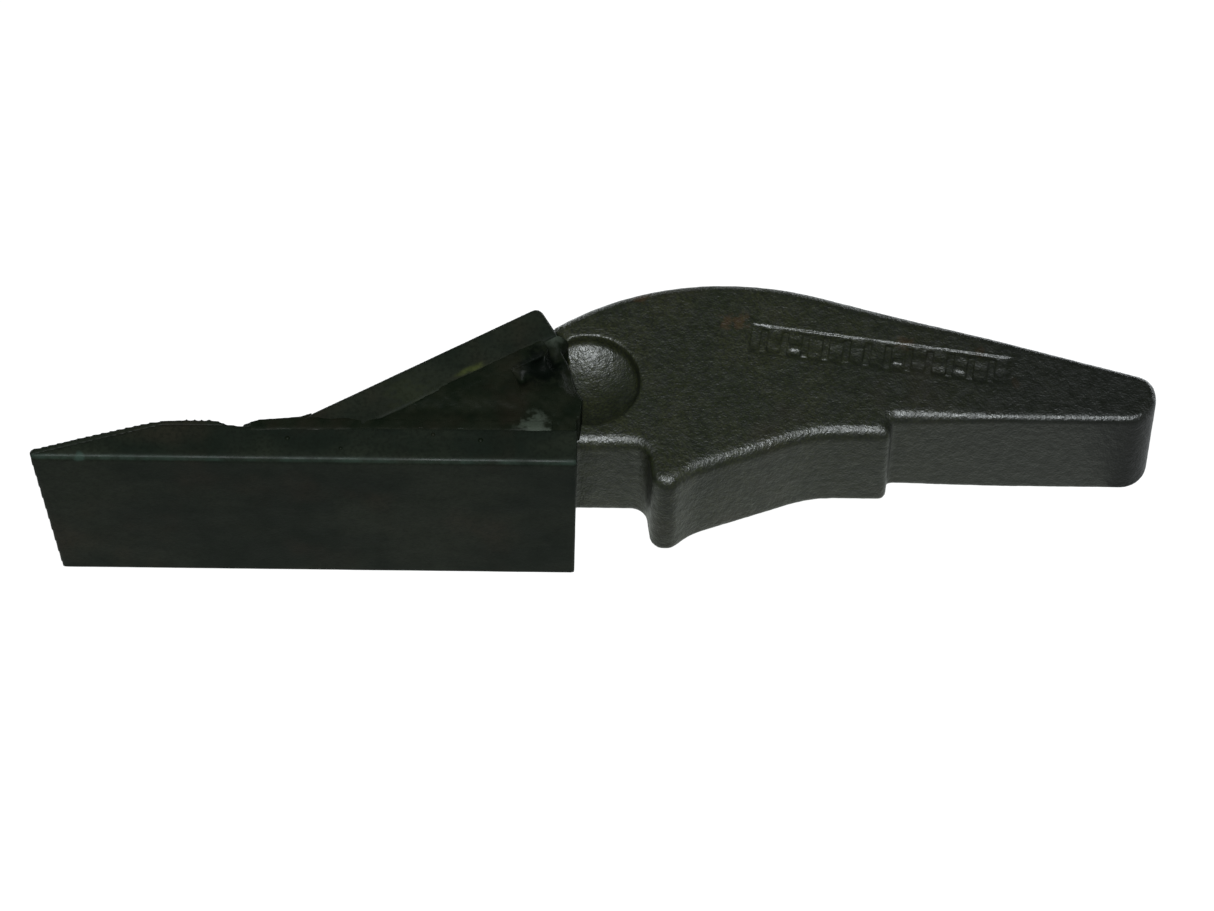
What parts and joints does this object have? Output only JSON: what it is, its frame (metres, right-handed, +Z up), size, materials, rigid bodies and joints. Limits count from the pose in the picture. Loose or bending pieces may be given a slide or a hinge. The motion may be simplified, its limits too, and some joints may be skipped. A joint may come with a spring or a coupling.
{
  "type": "pocket-type digging tooth",
  "caption": "Forged shank with a hooked neck, a stepped tail and a lock dimple, carrying a welded V head of flat bars with a bevelled cutting edge.",
  "frame": {"origin": "centre of the tooth's plan, at the level of the blade's lower edge, with the tooth lying on its side", "axes": "+X from the cutting edge to the tail, +Y from the blade's front face to the shank's domed back, +Z up across the width of the cut"},
  "size_m": [0.2624, 0.0568, 0.0512],
  "materials": {
    "forging": "shot-blasted forging under a thin dark oil, satin",
    "bar_steel": "dark mill scale, smooth, satin",
    "hard_overlay": "as-laid hard overlay, dark",
    "weld_metal": "as-welded, dark, rippled"
  },
  "bodies": {
    "root": {"shank": "forging", "blade_bar": "bar_steel", "brace_bar": "bar_steel", "tip_hardfacing": "hard_overlay", "toe_weld": "weld_metal", "upper_blade_seam_weld": "weld_metal", "lower_blade_seam_weld": "weld_metal", "upper_brace_seam_weld": "weld_metal", "lower_brace_seam_weld": "weld_metal", "upper_fill_bead_1": "weld_metal", "upper_fill_bead_2": "weld_metal", "upper_fill_bead_3": "weld_metal", "lower_fill_bead_1": "weld_metal", "lower_fill_bead_2": "weld_metal", "lower_fill_bead_3": "weld_metal", "upper_end_weld": "weld_metal", "lower_end_weld": "weld_metal", "brace_heel_weld": "weld_metal", "weld_spatter": "weld_metal"}
  },
  "joints": []
}
